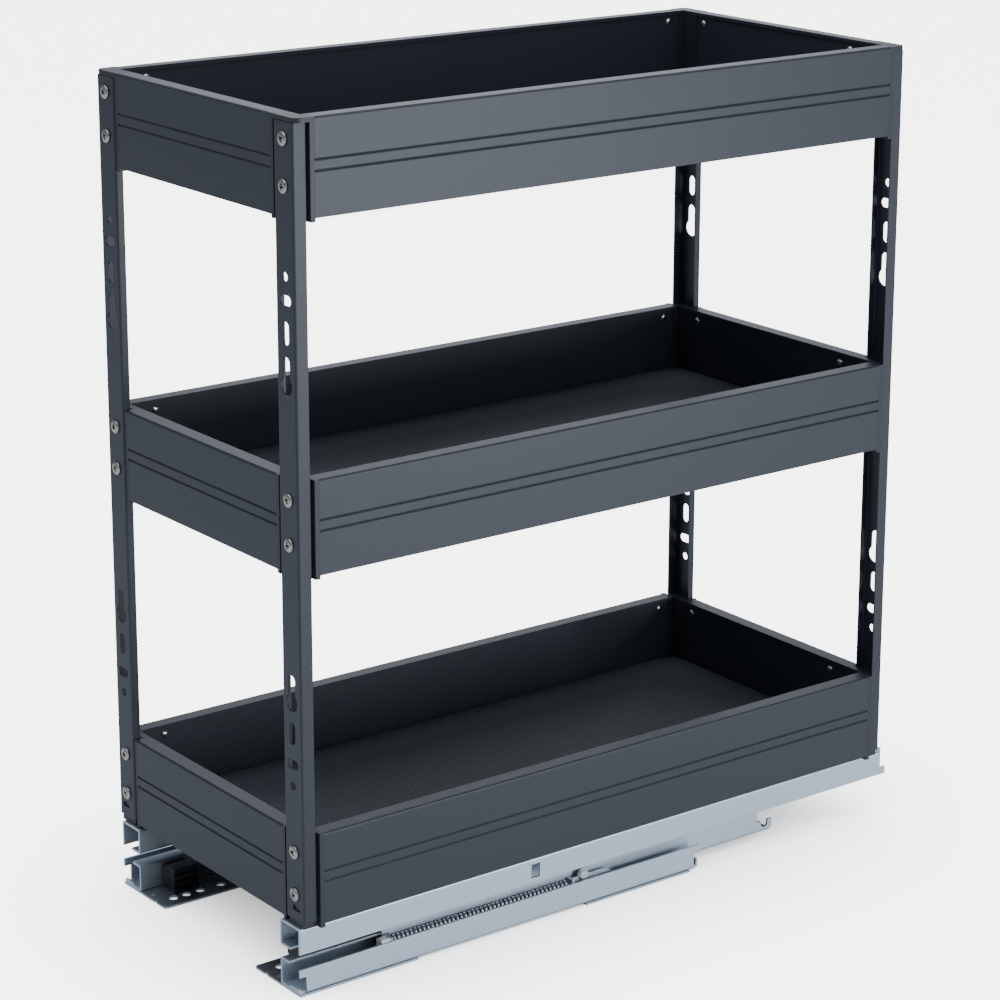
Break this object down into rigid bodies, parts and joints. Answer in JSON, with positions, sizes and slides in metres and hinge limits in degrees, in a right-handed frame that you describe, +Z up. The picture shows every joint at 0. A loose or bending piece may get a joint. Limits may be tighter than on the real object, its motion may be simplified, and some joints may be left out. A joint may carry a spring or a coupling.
{
  "type": "pull-out cabinet rack",
  "caption": "Tall narrow pull-out rack of open trays on perforated corner posts, carried by full-extension slides with a spring closing unit.",
  "frame": {"origin": "middle of the object's box at the underside of the bracket plates", "axes": "+X to the right seen from the front, +Y to the rear, away from the cabinet's opening, +Z up along the posts"},
  "size_m": [0.228, 0.5014, 0.5536],
  "materials": {
    "graphite_coat": "graphite powder coat, fine texture, satin",
    "floor_board": "dark grey coated board",
    "mat": "dark slip-proof mat, fine relief",
    "corner_plastic": "moulded dark plastic, matt",
    "zinc_screw": "bright zinc-plated steel",
    "galvanised_steel": "zinc-plated sheet steel",
    "carriage_plastic": "moulded light grey plastic",
    "roller_nylon": "white nylon",
    "spring_steel": "drawn spring wire",
    "white_nylon": "white nylon",
    "catch_steel": "zinc-plated steel",
    "damper_plastic": "moulded black plastic",
    "damper_steel": "ground steel"
  },
  "bodies": {
    "cabinet_side": {"cabinet_rail_left": "galvanised_steel", "cabinet_rail_right": "galvanised_steel", "front_bracket_left": "galvanised_steel", "front_bracket_right": "galvanised_steel", "rear_bracket_left": "galvanised_steel", "rear_bracket_right": "galvanised_steel", "spring_seat_left": "white_nylon", "spring_seat_right": "white_nylon", "closing_spring_left": "spring_steel", "closing_spring_right": "spring_steel", "damper_head_left": "damper_plastic", "damper_head_right": "damper_plastic", "damper_rod_left": "damper_steel", "damper_rod_right": "damper_steel"},
    "rack": {"post_front_left": "graphite_coat", "post_front_right": "graphite_coat", "post_rear_left": "graphite_coat", "post_rear_right": "graphite_coat", "lower_left_panel": "graphite_coat", "lower_right_panel": "graphite_coat", "lower_front_panel": "graphite_coat", "lower_rear_panel": "graphite_coat", "middle_left_panel": "graphite_coat", "middle_right_panel": "graphite_coat", "middle_front_panel": "graphite_coat", "middle_rear_panel": "graphite_coat", "upper_left_panel": "graphite_coat", "upper_right_panel": "graphite_coat", "upper_front_panel": "graphite_coat", "upper_rear_panel": "graphite_coat", "lower_floor": "floor_board", "middle_floor": "floor_board", "upper_floor": "floor_board", "lower_mat": "mat", "middle_mat": "mat", "upper_mat": "mat", "lower_corners": "corner_plastic", "middle_corners": "corner_plastic", "upper_corners": "corner_plastic", "post_screws": "zinc_screw", "rail_screws": "zinc_screw", "drawer_rail_left": "galvanised_steel", "drawer_rail_right": "galvanised_steel"},
    "middle_left": {"middle_rail_left": "galvanised_steel"},
    "lower_rolling_left": {"lower_carriage_left": "carriage_plastic", "lower_rollers_left": "roller_nylon"},
    "upper_rolling_left": {"upper_carriage_left": "carriage_plastic", "upper_rollers_left": "roller_nylon"},
    "catch_left": {"closing_catch_left": "catch_steel", "catch_pin_left": "catch_steel", "damper_cylinder_left": "damper_steel"},
    "middle_right": {"middle_rail_right": "galvanised_steel"},
    "lower_rolling_right": {"lower_carriage_right": "carriage_plastic", "lower_rollers_right": "roller_nylon"},
    "upper_rolling_right": {"upper_carriage_right": "carriage_plastic", "upper_rollers_right": "roller_nylon"},
    "catch_right": {"closing_catch_right": "catch_steel", "catch_pin_right": "catch_steel", "damper_cylinder_right": "damper_steel"}
  },
  "joints": [
    {"name": "rack_slide", "type": "slide", "parent": "cabinet_side", "child": "rack", "axis": [0, -1, 0], "range_m": [0, 0.48]},
    {"name": "middle_slide_left", "type": "slide", "parent": "cabinet_side", "child": "middle_left", "axis": [0, -1, 0], "range_m": [0, 0.24]},
    {"name": "lower_rolling_slide_left", "type": "slide", "parent": "cabinet_side", "child": "lower_rolling_left", "axis": [0, -1, 0], "range_m": [0, 0.12]},
    {"name": "upper_rolling_slide_left", "type": "slide", "parent": "cabinet_side", "child": "upper_rolling_left", "axis": [0, -1, 0], "range_m": [0, 0.36]},
    {"name": "catch_slide_left", "type": "slide", "parent": "cabinet_side", "child": "catch_left", "axis": [0, -1, 0], "range_m": [0, 0.04], "stiffness_N_per_m": 250, "deforming": ["closing_spring_left"]},
    {"name": "middle_slide_right", "type": "slide", "parent": "cabinet_side", "child": "middle_right", "axis": [0, -1, 0], "range_m": [0, 0.24]},
    {"name": "lower_rolling_slide_right", "type": "slide", "parent": "cabinet_side", "child": "lower_rolling_right", "axis": [0, -1, 0], "range_m": [0, 0.12]},
    {"name": "upper_rolling_slide_right", "type": "slide", "parent": "cabinet_side", "child": "upper_rolling_right", "axis": [0, -1, 0], "range_m": [0, 0.36]},
    {"name": "catch_slide_right", "type": "slide", "parent": "cabinet_side", "child": "catch_right", "axis": [0, -1, 0], "range_m": [0, 0.04], "stiffness_N_per_m": 250, "deforming": ["closing_spring_right"]}
  ],
  "couplings": [
    {"joint": "middle_slide_left", "follows": "rack_slide", "ratio": 0.5},
    {"joint": "lower_rolling_slide_left", "follows": "rack_slide", "ratio": 0.25},
    {"joint": "upper_rolling_slide_left", "follows": "rack_slide", "ratio": 0.75},
    {"joint": "middle_slide_right", "follows": "rack_slide", "ratio": 0.5},
    {"joint": "lower_rolling_slide_right", "follows": "rack_slide", "ratio": 0.25},
    {"joint": "upper_rolling_slide_right", "follows": "rack_slide", "ratio": 0.75}
  ]
}
